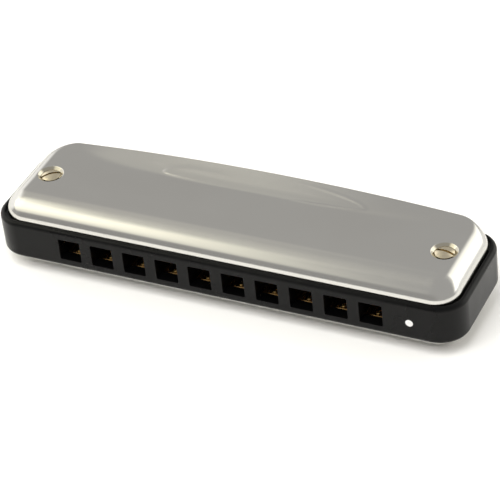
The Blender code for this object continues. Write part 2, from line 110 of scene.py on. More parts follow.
# Screws
PLATE_HOLE_RADIUS = 0.8 * MM
PLATE_SCREW_RADIUS = 0.65 * MM
PLATE_SCREW_HEAD_RADIUS = 1.4 * MM
PLATE_SCREW_HEAD_HEIGHT = 0.6 * MM
PLATE_SCREW_HEAD_SIDE = 0.2 * MM
PLATE_SCREW_POINT = 0.5 * MM
PLATE_SCREW_POINT_RADIUS = 0.15 * MM
PLATE_SCREW_SLOT_WIDTH = 0.4 * MM
PLATE_SCREW_SLOT_DEPTH = 0.25 * MM
PLATE_SCREW_SLOT_TURN = 0.6
SHANK_RADIUS = 0.9 * MM
HEAD_GAP = 0.15 * MM
HEAD_SEAT_GAP = 0.05 * MM
HEAD_CONE_HEIGHT = 0.82 * MM
HEAD_DOME = 0.5 * MM
HEAD_SIDE = 0.06 * MM
HEAD_SOFT = 0.03 * MM
SHANK_POINT = 0.1 * MM
NUT_BORE_GAP = 0.08 * MM
NUT_RISE = 0.2 * MM
SLOT_WIDTH = 0.55 * MM
SLOT_DEPTH = 0.4 * MM
SLOT_TURNS = {"left": math.radians(42.0), "right": math.radians(-7.0)}

# Covers
SHEET = 0.4 * MM
COVER_CORNER = 5.4 * MM
FLARE_RISE = 1.6 * MM
FLARE_DEPTH_MIDDLE = 5.9 * MM
FLARE_DEPTH_END = 2.5 * MM
FLARE_POWER = 8
FLARE_HALF = 43.2 * MM
FLARE_BEND = 0.45
BEND_RADIUS = 7.0 * MM
BEND_ANGLE = math.radians(42.0)
SHOULDER_RADIUS = 3.0 * MM
FLANGE_ANGLE = math.radians(76.0)
END_SLOPE_WIDTH = 4.0 * MM
OPENING_HALF = 40.0 * MM
OPENING_STEPS = 160
COVER_SCREW_X = 44.45 * MM
COVER_SCREW_Y = 0.3 * MM
DIMPLE_RADIUS = 2.6 * MM
DIMPLE_LIP_START = 0.25 * MM
DIMPLE_LIP_RADIUS = 0.35 * MM
DIMPLE_LIP_ANGLE = math.radians(12.0)
DIMPLE_HOLE_RADIUS = 1.25 * MM
DIMPLE_DEPTH = 1.27 * MM
DIMPLE_SLOPE = (DIMPLE_RADIUS - DIMPLE_HOLE_RADIUS) / DIMPLE_DEPTH
# Darker, warmer base colour in the cover dimples: painted shade and painted reflection.
DIMPLE_PAINTED_SHADE_TINT = (0.52, 0.485, 0.40)
DIMPLE_PAINTED_SHADE_FADE = 0.3 * MM
COVER_HALF = (COVER_HIGH.x - COVER_LOW.x) / 2
COVER_FRONT = COVER_LOW.y
COVER_REAR = 12.4 * MM
COVER_FOOT = COVER_LOW.z - MIDDLE + SHEET * math.cos(FLANGE_ANGLE)
COVER_TOP = COVER_HIGH.z - MIDDLE - FLARE_RISE

# The leaf-shaped relief in the upper part of each cover's flare
LEAF_LEFT = -22.2 * MM
LEAF_RIGHT = 24.4 * MM
LEAF_Y = 8.2 * MM
LEAF_UP = 3.7 * MM
LEAF_DOWN = 1.8 * MM
LEAF_LEFT_POWER = 3.2
LEAF_RIGHT_POWER = 2.0
LEAF_HEIGHT = 0.17 * MM
LEAF_LEAST = 0.2
LEAF_EDGE = 1.5 * MM
LEAF_REAR_EDGE = 3.0 * MM
LEAF_RIDGE = 0.08 * MM
LEAF_RIDGE_WIDTH = 0.8 * MM
LEAF_FRONT_RIDGE = 1.6

# Glowing cards over the object: name, height, low and high corners, strength, fades (each an axis,
# where the glow is full and where it has gone) and colour
WARM = (1.0, 0.97, 0.78)
CARDS = (
    (
        "card_left", 0.42, (-0.8, -0.7), (-0.08, 0.1), 1.6,
        (("X", -0.27, -0.1), ("Y", -0.11, 0.03), ("Y", -0.06, -0.52)), WARM,
    ),
    (
        "card_left_edge", 0.43, (-0.8, -0.2), (-0.04, 0.3), 0.2,
        (("X", -0.17, -0.05), ("Y", -0.02, 0.25), ("Y", -0.04, -0.14)), WARM,
    ),
    (
        "card_far_left", 0.44, (-0.8, -0.1), (-0.2, 0.2), 1.1,
        (("X", -0.285, -0.24), ("Y", 0.02, 0.17), ("Y", -0.02, -0.08)), WARM,
    ),
    (
        "card_rear_left", 0.45, (-0.8, -0.1), (-0.05, 0.6), 0.13,
        (("X", -0.24, -0.11), ("Y", 0.34, 0.5), ("Y", 0.04, -0.04)), WARM,
    ),
    (
        "card_rear_right", 0.46, (-0.03, 0.1), (1.8, 1.8), 1.15,
        (("X", 0.2, -0.02), ("Y", 0.42, 0.12)), (1.0, 0.98, 0.88),
    ),
)

# Camera: where it stands, what it looks at and how far it is rolled
CAMERA_PLACE = (0.18869, -0.34180, 0.30072)
CAMERA_TARGET = (0.00217, -0.00168, 0.0097)
CAMERA_ROLL = -6.765
CAMERA_LENS = 170.2

# Floor, room and lights; each room glow is a direction, the cosines from it where the glow starts
# and is full, and its amount
FLOOR_TILT = math.radians(4.6)
FLOOR_GLOW = 0.02
WORLD_STRENGTH = 0.5
FILL_PLACE = (0.0, -0.28, 0.6)
FILL_SIZE = (0.4, 0.42)
FILL_POWER = 3.5
WORLD_GLOWS = (
    ((-0.9, 0.3, 0.25), 0.82, 0.93, 0.9),
    ((0.7, 0.7, 0.05), 0.7, 0.93, 0.6),
    ((-0.25, -0.93, 0.25), 0.75, 0.97, -0.09),
)

FAR = 30.0 * MM
MERGE_DISTANCE = 0.001 * MM


# ---------------------------------------------------------------- node materials

def new_material(name, colour, roughness, metallic, specular=0.5):
    """A Principled material; the constants sit on the shader's own sockets."""
    material = bpy.data.materials.new(name)
    material.use_nodes = True
    shader = material.node_tree.nodes["Principled BSDF"]
    shader.inputs["Base Color"].default_value = (*colour, 1.0)
    shader.inputs["Roughness"].default_value = roughness
    shader.inputs["Metallic"].default_value = metallic
    shader.inputs["Specular IOR Level"].default_value = specular
    return material


def add_node(material, kind, **settings):
    node = material.node_tree.nodes.new(kind)
    for key, value in settings.items():
        setattr(node, key, value)
    return node


def join(material, source, target):
    material.node_tree.links.new(source, target)


def object_noise(material, scale, stretch=(1.0, 1.0, 1.0), detail=4.0, roughness=0.55):
    """Noise in object space, in cycles a millimetre, drawn out along an axis by stretch."""
    place = add_node(material, "ShaderNodeTexCoord")
    mapping = add_node(material, "ShaderNodeMapping")
    mapping.inputs["Scale"].default_value = [s * 1000.0 for s in stretch]
    noise = add_node(material, "ShaderNodeTexNoise")
    noise.inputs["Scale"].default_value = scale
    noise.inputs["Detail"].default_value = detail
    noise.inputs["Roughness"].default_value = roughness
    join(material, place.outputs["Object"], mapping.inputs["Vector"])
    join(material, mapping.outputs["Vector"], noise.inputs["Vector"])
    return noise.outputs["Fac"]


def ramp(material, source, low, high, start=0.3, end=0.7):
    """Map noise between two values, or between two colours."""
    node = add_node(material, "ShaderNodeValToRGB")
    first, last = node.color_ramp.elements
    first.position, last.position = start, end
    first.color = (*low, 1.0) if hasattr(low, "__len__") else (low, low, low, 1.0)
    last.color = (*high, 1.0) if hasattr(high, "__len__") else (high, high, high, 1.0)
    join(material, source, node.inputs["Fac"])
    return node.outputs["Color"]


def smooth_step(material, source, start, end):
    """1 at start, 0 at end, and smooth between them."""
    node = add_node(material, "ShaderNodeMapRange", interpolation_type="SMOOTHSTEP")
    node.inputs["From Min"].default_value = start
    node.inputs["From Max"].default_value = end
    node.inputs["To Min"].default_value = 1.0
    node.inputs["To Max"].default_value = 0.0
    join(material, source, node.inputs["Value"])
    return node.outputs["Result"]


def feed(material, source, socket):
    join(material, source, material.node_tree.nodes["Principled BSDF"].inputs[socket])


def add_bump(material, source, distance, strength):
    bump = add_node(material, "ShaderNodeBump")
    bump.inputs["Strength"].default_value = strength
    bump.inputs["Distance"].default_value = distance
    join(material, source, bump.inputs["Height"])
    feed(material, bump.outputs["Normal"], "Normal")


def dimple_painted_shade_mask(material):
    """1 in the covers' dimples and 0 outside them: where painted shade and warm painted reflection
    darken the steel's base colour.
    """
    place = add_node(material, "ShaderNodeTexCoord")
    split = add_node(material, "ShaderNodeSeparateXYZ")
    join(material, place.outputs["Object"], split.inputs["Vector"])
    either = add_node(material, "ShaderNodeMath", operation="ABSOLUTE")
    join(material, split.outputs["X"], either.inputs[0])
    flat = add_node(material, "ShaderNodeCombineXYZ")
    join(material, either.outputs["Value"], flat.inputs["X"])
    join(material, split.outputs["Y"], flat.inputs["Y"])
    away = add_node(material, "ShaderNodeVectorMath", operation="DISTANCE")
    away.inputs[1].default_value = (COVER_SCREW_X, COVER_SCREW_Y, 0.0)
    join(material, flat.outputs["Vector"], away.inputs[0])
    return smooth_step(
        material, away.outputs["Value"], DIMPLE_RADIUS, DIMPLE_RADIUS + DIMPLE_PAINTED_SHADE_FADE
    )


def mix_colours(material, factor, first, second):
    """Mix a colour source with a fixed colour."""
    node = add_node(material, "ShaderNodeMix", data_type="RGBA")
    sockets = {socket.identifier: socket for socket in node.inputs}
    join(material, factor, sockets["Factor_Float"])
    join(material, first, sockets["A_Color"])
    sockets["B_Color"].default_value = (*second, 1.0)
    return next(socket for socket in node.outputs if socket.identifier == "Result_Color")


def cover_steel():
    """Polished stainless sheet with a faint lengthwise grain and slightly cloudy polish; its
    dimples get a darker, warmer base colour, which is painted shade and painted reflection.
    """
    material = new_material("cover_steel_polished", (0.62, 0.61, 0.58), 0.2, 1.0)
    cloud = object_noise(material, 0.05, (0.5, 1.0, 1.0), 3.0)
    tint = ramp(material, cloud, (0.615, 0.603, 0.575), (0.645, 0.637, 0.61))
    # Painted shade and painted reflection: the dimples' base colour is darkened and warmed.
    tint = mix_colours(material, dimple_painted_shade_mask(material), tint, DIMPLE_PAINTED_SHADE_TINT)
    feed(material, tint, "Base Color")
    grain = object_noise(material, 2.2, (0.035, 1.0, 1.0), 5.0, 0.6)
    feed(material, ramp(material, grain, 0.13, 0.18), "Roughness")
    add_bump(material, grain, 0.0006 * MM, 0.3)
    return material


def comb_plastic():
    """Black moulded plastic, satin on its faces, with a very fine moulded texture."""
    material = new_material("comb_black_plastic", (0.012, 0.012, 0.0125), 0.3, 0.0, 0.18)
    cloud = object_noise(material, 0.08, (1.0, 1.0, 1.0), 3.0)
    tint = ramp(material, cloud, (0.001, 0.001, 0.0011), (0.002, 0.002, 0.0021))
    feed(material, tint, "Base Color")
    feed(material, ramp(material, cloud, 0.24, 0.36), "Roughness")
    add_bump(material, object_noise(material, 3.5, (1.0, 1.0, 1.0), 3.0), 0.004 * MM, 0.3)
    return material


def brass(name, low, high, rough, stretch):
    """Brass with a drawn grain and faint tarnish; rough is its smoothest and roughest value."""
    material = new_material(name, low, rough[0], 1.0)
    cloud = object_noise(material, 0.12, (1.0, 1.0, 1.0), 4.0)
    feed(material, ramp(material, cloud, low, high), "Base Color")
    grain = object_noise(material, 3.0, stretch, 4.0)
    feed(material, ramp(material, grain, *rough), "Roughness")
    add_bump(material, grain, 0.004 * MM, 0.4)
    return material


def screw_nickel():
    """Warm nickel plate with a fine bumpy texture."""
    material = new_material("screw_warm_nickel", (0.72, 0.64, 0.48), 0.22, 1.0)
    cloud = object_noise(material, 0.5, (1.0, 1.0, 1.0), 4.0)
    feed(material, ramp(material, cloud, (0.69, 0.60, 0.43), (0.76, 0.68, 0.52)), "Base Color")
    feed(material, ramp(material, cloud, 0.18, 0.3), "Roughness")
    add_bump(material, object_noise(material, 6.0), 0.002 * MM, 0.3)
    return material


def key_paint():
    """White pad-printed ink with slightly uneven cover."""
    material = new_material("key_dot_white_ink", (0.8, 0.8, 0.79), 0.45, 0.0)
    cloud = object_noise(material, 2.0)
    feed(material, ramp(material, cloud, (0.74, 0.74, 0.73), (0.86, 0.86, 0.85)), "Base Color")
    return material


STEEL = cover_steel()
PLASTIC = comb_plastic()
PLATE = brass(
    "plate_rolled_brass", (0.62, 0.42, 0.17), (0.72, 0.50, 0.22), (0.28, 0.42), (0.05, 1.0, 1.0)
)
REED = brass(
    "reed_spring_brass", (0.64, 0.38, 0.15), (0.74, 0.47, 0.20), (0.2, 0.34), (1.0, 0.05, 1.0)
)
RIVET = brass(
    "rivet_turned_brass", (0.72, 0.52, 0.22), (0.80, 0.60, 0.28), (0.18, 0.3), (1.0, 1.0, 1.0)
)
NICKEL = screw_nickel()
INK = key_paint()


# ---------------------------------------------------------------- mesh helpers

def add_object(name, mesh, location=(0.0, 0.0, 0.0)):
    item = bpy.data.objects.new(name, mesh)
    bpy.context.scene.collection.objects.link(item)
    item.location = location
    return item


def mesh_from(name, shape):
    mesh = bpy.data.meshes.new(name)
    bmesh.ops.recalc_face_normals(shape, faces=shape.faces[:])
    shape.to_mesh(mesh)
    shape.free()
    return mesh


def add_box(shape, low, high):
    low, high = Vector(low), Vector(high)
    place = Matrix.Translation((low + high) / 2) @ Matrix.Diagonal((*(high - low), 1.0))
    bmesh.ops.create_cube(shape, size=1.0, matrix=place)


def add_pin(shape, x, y, low, high, radius, segments):
    place = Matrix.Translation((x, y, (low + high) / 2))
    bmesh.ops.create_cone(
        shape, cap_ends=True, segments=segments, radius1=radius, radius2=radius,
        depth=high - low, matrix=place,
    )


def bevel(shape, edges, width, segments):
    bmesh.ops.bevel(
        shape, geom=edges, offset=width, segments=segments, profile=0.5, affect="EDGES"
    )


def bake(item, name):
    """Replace an object by the mesh that its modifiers make."""
    graph = bpy.context.evaluated_depsgraph_get()
    mesh = bpy.data.meshes.new_from_object(item.evaluated_get(graph))
    mesh.name = name
    bpy.data.objects.remove(item, do_unlink=True)
    return mesh


def turned_mesh(name, profile, steps, closed=False):
    """Turn a profile of (radius, height) points, which runs down its outer side, about Z."""
    outline = bpy.data.meshes.new(name + "_profile")
    points = [(radius, 0.0, height) for radius, height in profile]
    edges = [(i, i + 1) for i in range(len(points) - 1)]
    if closed:
        edges.append((len(points) - 1, 0))
    outline.from_pydata(points, edges, [])
    item = add_object(name + "_profile", outline)
    screw = item.modifiers.new("turn", "SCREW")
    screw.axis = "Z"
    screw.steps = steps
    screw.render_steps = steps
    screw.use_merge_vertices = True
    screw.merge_threshold = MERGE_DISTANCE
    screw.use_smooth_shade = True
    return bake(item, name)


def combine(item, other, operation="DIFFERENCE"):
    """Cut another object from an object, or join it on, and remove the other one."""
    boolean = item.modifiers.new(other.name, "BOOLEAN")
    boolean.operation = operation
    boolean.object = other
    boolean.solver = "EXACT"
    name = item.name
    location, rotation = item.location.copy(), item.rotation_euler.copy()
    mesh = bake(item, name)
    bpy.data.objects.remove(other, do_unlink=True)
    result = add_object(name, mesh, location)
    result.rotation_euler = rotation
    return result


def round_edges(item, width, segments, angle):
    edge = item.modifiers.new("edge", "BEVEL")
    edge.width = width
    edge.segments = segments
    edge.limit_method = "ANGLE"
    edge.angle_limit = math.radians(angle)
    edge.miter_outer = "MITER_ARC"
    edge.use_clamp_overlap = True


def shade(item, angle=35.0):
    """Smooth shading, with the large faces kept flat by weighted normals."""
    item.data.shade_smooth()
    item.data.set_sharp_from_angle(angle=math.radians(angle))
    weighted = item.modifiers.new("weighted", "WEIGHTED_NORMAL")
    weighted.keep_sharp = True
    weighted.weight = 100


def finish_piece(item, material, body, *nodes):
    """Give a piece its material and the body that it rides on, and hide the CAD nodes that it
    stands for.
    """
    item.data.materials.clear()
    item.data.materials.append(material)
    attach(item, body)
    if nodes:
        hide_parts(*nodes)


def hole_x(number):
    low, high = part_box(f"blow_reed_{number}")
    return (low[0] + high[0]) / 2


# ---------------------------------------------------------------- covers

def flare_rise(x):
    along = min(1.0, abs(x) / FLARE_HALF)
    return FLARE_RISE * (1.0 - along * along)


def flare_start(x):
    along = min(1.0, abs(x) / FLARE_HALF) ** FLARE_POWER
    return COVER_REAR - FLARE_DEPTH_MIDDLE + (FLARE_DEPTH_MIDDLE - FLARE_DEPTH_END) * along


def flare_shape(part):
    """Rise from 0 at the fold to 1 at the rear edge, with a rounded fold."""
    full = 1.0 - FLARE_BEND / 2
    if part < FLARE_BEND:
        return part * part / (2 * FLARE_BEND) / full
    return (part - FLARE_BEND / 2) / full


def slope_profile(bend_steps, shoulder_steps):
    """Points of the cover's front slope from its foot up, (distance out, height), and its width."""
    points = []
    for step in range(bend_steps + 1):
        angle = BEND_ANGLE * step / bend_steps
        out = BEND_RADIUS * math.sin(angle)
        points.append((out, COVER_TOP - BEND_RADIUS * (1 - math.cos(angle))))
    start_out, start_height = points[-1]
    for step in range(1, shoulder_steps + 1):
        angle = BEND_ANGLE + (FLANGE_ANGLE - BEND_ANGLE) * step / shoulder_steps
        out = start_out + SHOULDER_RADIUS * (math.sin(angle) - math.sin(BEND_ANGLE))
        height = start_height - SHOULDER_RADIUS * (math.cos(BEND_ANGLE) - math.cos(angle))
        points.append((out, height))
    flange_out, flange_top = points[-1]
    width = flange_out + (flange_top - COVER_FOOT) / math.tan(FLANGE_ANGLE)
    points.append((width, COVER_FOOT))
    return points[::-1], width


def cover_skin(stations, corner_steps, side_steps, flat_rows):
    """The outer skin of a cover: slopes round three sides, a flat top and a flare at the rear."""
    profile, width = slope_profile(10, 5)
    flat_x = COVER_HALF - END_SLOPE_WIDTH
    centre_x = COVER_HALF - COVER_CORNER
    front_y = COVER_FRONT + COVER_CORNER
    rear_y = COVER_REAR - COVER_CORNER
    top_front = COVER_FRONT + width
    right = []
    for step in range(corner_steps + 1):
        part = step / corner_steps
        out_x, out_y = math.sin(part * math.pi / 2), math.cos(part * math.pi / 2)
        foot = (centre_x + COVER_CORNER * out_x, front_y - COVER_CORNER * out_y)
        right.append((foot, (centre_x + (flat_x - centre_x) * part, top_front)))
    for step in range(1, side_steps):
        y = front_y + (rear_y - front_y) * step / side_steps
        start_y = top_front + (rear_y - top_front) * step / side_steps
        right.append(((COVER_HALF, y), (flat_x, start_y)))
    for step in range(corner_steps):
        part = step / corner_steps
        out_x, out_y = math.cos(part * math.pi / 2), math.sin(part * math.pi / 2)
        foot = (centre_x + COVER_CORNER * out_x, rear_y + COVER_CORNER * out_y)
        top = (FLARE_HALF + (flat_x - FLARE_HALF) * out_x, rear_y + COVER_CORNER * out_y)
        right.append((foot, top))
    count = len(stations)
    front = [((x, COVER_FRONT), (x, top_front)) for x in stations]
    rear = [((x, COVER_REAR), (x, COVER_REAR)) for x in stations]
    rear[0] = ((-centre_x, COVER_REAR), rear[0][1])
    rear[-1] = ((centre_x, COVER_REAR), rear[-1][1])
    left = [((-foot[0], foot[1]), (-top[0], top[1])) for foot, top in right]
    outline = front + right + rear[::-1] + left[::-1]
    rear_first = count + len(right)

    shape = bmesh.new()
    rings = []
    for out, height in profile:
        ring = []
        for foot, top in outline:
            place = Vector(top).lerp(Vector(foot), out / width)
            ring.append(shape.verts.new((place.x, place.y, height)))
        rings.append(ring)
    top_ring = rings[-1]
    for vertex in top_ring[rear_first:rear_first + count]:
        vertex.co.z = COVER_TOP + flare_rise(vertex.co.x)

    total = len(outline)
    for index in range(total):
        after = (index + 1) % total
        middle = (outline[index][0][0] + outline[after][0][0]) / 2
        at_rear = rear_first <= index < rear_first + count - 1
        if at_rear and abs(middle) < OPENING_HALF:
            continue
        for lower, upper in zip(rings, rings[1:]):
            shape.faces.new((lower[index], lower[after], upper[after], upper[index]))

    flare_rows = len(right) + 1 - flat_rows
    columns = []
    for place, x in enumerate(stations):
        column = [top_ring[place]]
        for row in range(1, flat_rows + 1):
            y = top_front + (flare_start(x) - top_front) * row / flat_rows
            column.append(shape.verts.new((x, y, COVER_TOP)))
        for row in range(1, flare_rows):
            part = row / flare_rows
            y = flare_start(x) + (COVER_REAR - flare_start(x)) * part
            height = COVER_TOP + flare_rise(x) * flare_shape(part) + leaf_relief(x, y)
            column.append(shape.verts.new((x, y, height)))
        column.append(top_ring[rear_first + count - 1 - place])
        columns.append(column)
    sides = (
        (columns[0], [top_ring[0], *top_ring[:rear_first + count - 2:-1]]),
        (columns[-1], top_ring[count - 1:rear_first + 1]),
    )
    for one, other in [*zip(columns, columns[1:]), *sides]:
        for row in range(len(one) - 1):
            corners = [one[row], other[row], other[row + 1], one[row + 1]]
            corners = [v for place, v in enumerate(corners) if v not in corners[:place]]
            if len(corners) > 2:
                shape.faces.new(corners)
    loose = [v for v in shape.verts if not v.link_faces]
    bmesh.ops.delete(shape, geom=loose, context="VERTS")
    return mesh_from("cover_skin", shape)


def ease(part):
    """0 up to 0, 1 from 1 on, and smooth between them."""
    part = min(1.0, max(0.0, part))
    return part * part * (3 - 2 * part)


def leaf_relief(x, y):
    """A shallow leaf pressed out of the flare, highest at its blunt left end, with a fine raised
    line round its right tip."""
    part = (x - LEAF_LEFT) / (LEAF_RIGHT - LEAF_LEFT)
    half = (LEAF_RIGHT - LEAF_LEFT) / 2
    across = x - (LEAF_LEFT + LEAF_RIGHT) / 2
    along = y - LEAF_Y
    reach = LEAF_UP if along > 0 else LEAF_DOWN
    power = LEAF_LEFT_POWER if across < 0 else LEAF_RIGHT_POWER
    a, b = abs(across / half), abs(along / reach)
    size = max(0.05, (a ** power + b ** power) ** (1 / power))
    if size >= 1.0:
        return 0.0
    steep = math.hypot(a ** (power - 1) / half, b ** (power - 1) / reach) / size ** (power - 1)
    inward = (1.0 - size) / steep
    height = LEAF_HEIGHT * (LEAF_LEAST + (1 - LEAF_LEAST) * ease(1.0 - part / 0.5))
    edge = LEAF_EDGE + (LEAF_REAR_EDGE - LEAF_EDGE) * ease(along / LEAF_EDGE)
    ridge = LEAF_RIDGE * ease((part - 0.6) / 0.3)
    ridge *= ease(2 - abs(4 * inward / LEAF_RIDGE_WIDTH - 2))
    if along < 0:
        ridge *= LEAF_FRONT_RIDGE
    return ridge + height * ease(inward / edge)


def countersink_profile():
    """The hollow of a pressed dimple, with a rounded lip.

    The lip's arc starts a few degrees off the flat, so that the cut has a clean edge.
    """
    last_angle = math.pi / 2 - math.atan(DIMPLE_SLOPE)
    arc = []
    for step in range(7):
        angle = DIMPLE_LIP_ANGLE + (last_angle - DIMPLE_LIP_ANGLE) * step / 6
        in_by = DIMPLE_LIP_RADIUS * (math.sin(angle) - math.sin(DIMPLE_LIP_ANGLE))
        down_by = DIMPLE_LIP_RADIUS * (math.cos(DIMPLE_LIP_ANGLE) - math.cos(angle))
        arc.append((DIMPLE_RADIUS + DIMPLE_LIP_START - in_by, COVER_TOP - down_by))
    clear = 0.3 * MM
    above = (arc[0][0] + clear / math.tan(DIMPLE_LIP_ANGLE), arc[0][1] + clear)
    bottom = arc[-1][1] - (arc[-1][0] - DIMPLE_HOLE_RADIUS) / DIMPLE_SLOPE
    return [
        (0.0, above[1]), above, *arc, (DIMPLE_HOLE_RADIUS, bottom),
        (DIMPLE_HOLE_RADIUS, bottom - MM), (0.0, bottom - MM),
    ]


def dimple_plug_profile():
    """Metal joined on under the flat, for the dimple to be cut from."""
    reach = DIMPLE_RADIUS + 0.45 * MM
    bottom = COVER_TOP - DIMPLE_DEPTH
    return [
        (0.0, COVER_TOP - SHEET / 4),
        (reach, COVER_TOP - SHEET / 4),
        (reach, COVER_TOP - SHEET * 0.9),
        (DIMPLE_HOLE_RADIUS + 0.6 * MM, bottom),
        (0.0, bottom),
    ]


def crease_dimples(mesh):
    """Sharp edges where the dimples' lips begin, so that the flat top shades flat round them."""
    reach = DIMPLE_RADIUS + DIMPLE_LIP_START + 0.05 * MM
    for edge in mesh.edges:
        ends = [mesh.vertices[index].co for index in edge.vertices]
        if all(
            abs(end.z - COVER_TOP) < 0.002 * MM
            and math.hypot(abs(end.x) - COVER_SCREW_X, end.y - COVER_SCREW_Y) < reach
            for end in ends
        ):
            edge.use_edge_sharp = True


def build_covers():
    """One pressing, used for the upper cover and, turned over, for the lower one."""
    inner = [OPENING_HALF * (2 * step / OPENING_STEPS - 1) for step in range(OPENING_STEPS + 1)]
    ends = [OPENING_HALF + (FLARE_HALF - OPENING_HALF) * step / 4 for step in range(1, 5)]
    stations = [-x for x in reversed(ends)] + inner + ends
    blank = add_object("cover_blank", cover_skin(stations, 14, 8, 8))
    solid = blank.modifiers.new("sheet", "SOLIDIFY")
    solid.thickness = SHEET
    solid.offset = -1.0
    solid.use_even_offset = True
    solid.use_rim = True
    blank = add_object("cover_blank", bake(blank, "cover_blank"))
    plug = turned_mesh("dimple_plug", dimple_plug_profile(), 48)
    countersink = turned_mesh("countersink", countersink_profile(), 48)
    for x in (-COVER_SCREW_X, COVER_SCREW_X):
        place = (x, COVER_SCREW_Y, 0.0)
        blank = combine(blank, add_object("plug", plug, place), "UNION")
        blank = combine(blank, add_object("sink", countersink, place))
    mesh = bake(blank, "cover_pressing")
    for name, turn in (("draw_cover", 0.0), ("blow_cover", math.pi)):
        cover = add_object(name + "_pressed", mesh, (0.0, 0.0, MIDDLE))
        cover.rotation_euler = (0.0, turn, 0.0)
        shade(cover, 32.0)
        crease_dimples(cover.data)
        finish_piece(cover, STEEL, BODY, name)


# ---------------------------------------------------------------- comb

def plan_ring(low, high, corner, steps):
    """Points round a rectangle with round corners."""
    points = []
    centres = (
        (high[0] - corner, high[1] - corner, 0), (low[0] + corner, high[1] - corner, 1),
        (low[0] + corner, low[1] + corner, 2), (high[0] - corner, low[1] + corner, 3),
    )
    for x, y, quarter in centres:
        for step in range(steps + 1):
            angle = (quarter + step / steps) * math.pi / 2
            points.append((x + corner * math.cos(angle), y + corner * math.sin(angle)))
    return points


def grown(low, high, amount):
    return (low[0] - amount, low[1] - amount), (high[0] + amount, high[1] + amount)


def loft(shape, rings):
    """Add a closed body through rings of points, with a face on each end."""
    made = [[shape.verts.new(point) for point in ring] for ring in rings]
    for lower, upper in zip(made, made[1:]):
        for index in range(len(lower)):
            after = (index + 1) % len(lower)
            shape.faces.new((lower[index], lower[after], upper[after], upper[index]))
    shape.faces.new(made[0][::-1])
    shape.faces.new(made[-1])


def comb_block():
    """The comb's outside: a block with round plan corners and quarter-round edges."""
    half_x, half_y, half_z = COMB_HALF
    levels = []
    for step in range(7):
        angle = step / 6 * math.pi / 2
        inset = COMB_EDGE * (1 - math.sin(angle))
        levels.append((inset, COMB_EDGE * (1 - math.cos(angle))))
    levels = [(inset, rise - half_z) for inset, rise in levels]
    levels += [(inset, -height) for inset, height in reversed(levels)]
    rings = []
    for inset, height in levels:
        low, high = grown((-half_x, -half_y), (half_x, half_y), -inset)
        plan = plan_ring(low, high, COMB_CORNER - inset, 16)
        rings.append([(x, y, height) for x, y in plan])
    shape = bmesh.new()
    loft(shape, rings)
    return mesh_from("comb_block", shape)


def seat_cutter(shape, sign):
    """The recess that a cover sits in, with a softened top edge."""
    seat_x = COMB_HALF.x - RIM_WIDTH
    low, high = (-seat_x, -COMB_HALF.y + RIM_WIDTH), (seat_x, SEAT_REAR)
    top = COMB_HALF.z
    levels = (
        (0.0, SEAT_HEIGHT), (0.0, top - LIP), (LIP * 0.3, top - LIP * 0.3), (LIP, top), (LIP, FAR),
    )
    rings = []
    for out, height in levels:
        plan = plan_ring(*grown(low, high, out), COMB_CORNER - RIM_WIDTH + out, 14)
        rings.append([(x, y, sign * height) for x, y in plan])
    loft(shape, rings)


def mouth_cutter(shape, x):
    """A mouth hole with small round corners and a softened lip."""
    front = -COMB_HALF.y
    low, high = (x - HOLE_WIDTH / 2, -HOLE_HEIGHT / 2), (x + HOLE_WIDTH / 2, HOLE_HEIGHT / 2)
    levels = (
        (LIP, front - MM), (LIP, front), (LIP * 0.3, front + LIP * 0.3), (0.0, front + LIP),
        (0.0, CHAMBER_FRONT + MM),
    )
    rings = []
    for out, y in levels:
        plan = plan_ring(*grown(low, high, out), HOLE_CORNER + out, 4)
        rings.append([(across, y, height) for across, height in plan])
    loft(shape, rings)


def build_comb():
    comb = add_object("comb_moulding", comb_block(), CENTRE)
    chambers = bmesh.new()
    mouths = bmesh.new()
    for number in range(1, HOLES + 1):
        x = hole_x(number)
        rear = reed_span("blow", number)[1] + CHAMBER_PAST_REED
        mouth_cutter(mouths, x)
        add_box(
            chambers,
            (x - CHAMBER_WIDTH / 2, CHAMBER_FRONT, -CHAMBER_HALF_HEIGHT),
            (x + CHAMBER_WIDTH / 2, rear, CHAMBER_HALF_HEIGHT),
        )
    screw_holes = bmesh.new()
    top = POCKET_FLOOR + MM
    for place in SCREW_PLACES:
        x, y = node_centre("draw_plate_screw_" + place)
        for low, high in ((PLATE_SCREW_HOLE_BOTTOM, top), (-top, -PLATE_SCREW_HOLE_BOTTOM)):
            add_pin(screw_holes, x, y, low, high, PLATE_SCREW_RADIUS + POCKET_GAP, 24)
    for x in (-COVER_SCREW_X, COVER_SCREW_X):
        add_pin(screw_holes, x, COVER_SCREW_Y, -FAR, FAR, COMB_SCREW_HOLE_RADIUS, 32)

    plate_low, plate_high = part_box("draw_reed_plate")
    cutters = []
    for sign in (1, -1):
        seat = bmesh.new()
        seat_cutter(seat, sign)
        pocket = bmesh.new()
        near, far = sorted((sign * POCKET_FLOOR, sign * FAR))
        add_box(
            pocket,
            (plate_low[0] - POCKET_GAP, plate_low[1] - POCKET_GAP, near),
            (plate_high[0] + POCKET_GAP, plate_high[1] + POCKET_GAP, far),
        )
        notch = bmesh.new()
        near, far = sorted((sign * NOTCH_FLOOR, sign * FAR))
        add_box(notch, (-NOTCH_HALF, NOTCH_FRONT, near), (NOTCH_HALF, FAR, far))
        bevel(notch, notch.edges[:], NOTCH_ROUND, 4)
        cutters += [("seat", seat), ("pocket", pocket), ("notch", notch)]
    cutters += [("chambers", chambers), ("mouths", mouths), ("screw_holes", screw_holes)]
    for name, shape in cutters:
        comb = combine(comb, add_object(name, mesh_from(name, shape), CENTRE))
    shade(comb, 38.0)
    finish_piece(comb, PLASTIC, BODY, "comb")


